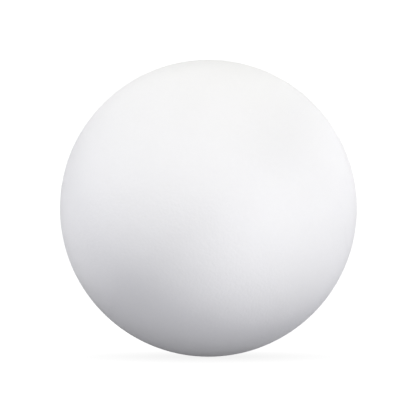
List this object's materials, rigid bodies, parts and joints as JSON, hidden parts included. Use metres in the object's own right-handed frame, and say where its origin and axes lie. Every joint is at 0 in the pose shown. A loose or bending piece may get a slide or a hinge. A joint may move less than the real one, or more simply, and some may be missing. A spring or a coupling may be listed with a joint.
{
  "type": "table tennis ball",
  "caption": "Hollow matt white plastic ball for table tennis, made of half shells cemented together at a stepped lap seam.",
  "frame": {"origin": "centre of the ball", "axes": "+Y is the common axis of the half shells, so the seam lies in the XZ plane; the front half shell is towards -Y"},
  "size_m": [0.04, 0.04, 0.04],
  "materials": {
    "shell": "matte",
    "cement": "matte"
  },
  "bodies": {
    "root": {"front_half_shell": "shell", "rear_half_shell": "shell", "seam_cement": "cement"}
  },
  "joints": []
}
